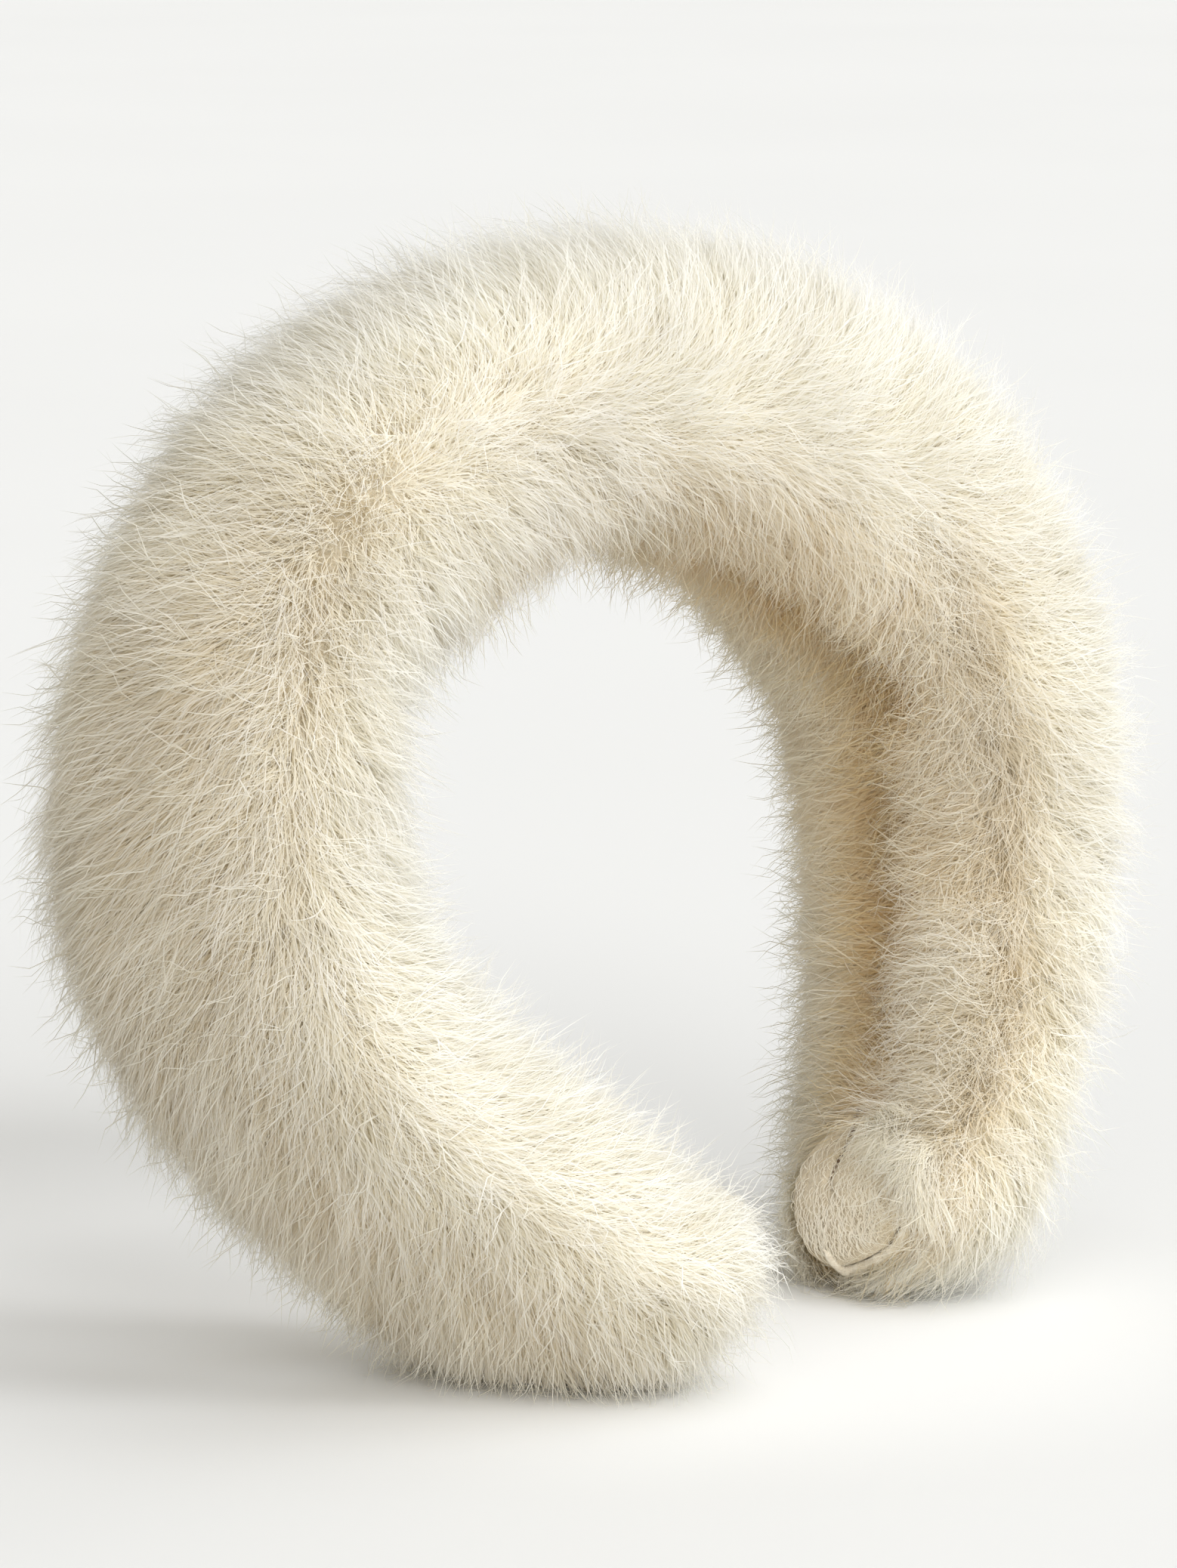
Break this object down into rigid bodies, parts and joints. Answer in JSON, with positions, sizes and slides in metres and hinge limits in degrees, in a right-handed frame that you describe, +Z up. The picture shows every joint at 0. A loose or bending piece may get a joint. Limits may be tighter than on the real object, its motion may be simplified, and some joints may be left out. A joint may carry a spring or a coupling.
{
  "type": "plush headband",
  "caption": "Padded C-shaped headband covered in deep cream fur, with a seam along the inner face and a cloth tab set into each end.",
  "frame": {"origin": "middle of the bounding box on the floor, under the band as it stands on its two ends", "axes": "+Z up, +X across the headband from the wearer-side left end to the right end, -Y to the front, where the ends curl to"},
  "size_m": [0.2064, 0.0906, 0.1707],
  "materials": {
    "fur": "deep soft cream plush fur over padding",
    "cloth": "finely napped suede-like cloth",
    "edging": "rolled cloth edging"
  },
  "bodies": {
    "root": {"fur_cover": "fur", "end_tab_left": "cloth", "end_tab_right": "cloth", "tab_edging_left": "edging", "tab_edging_right": "edging"}
  },
  "joints": []
}
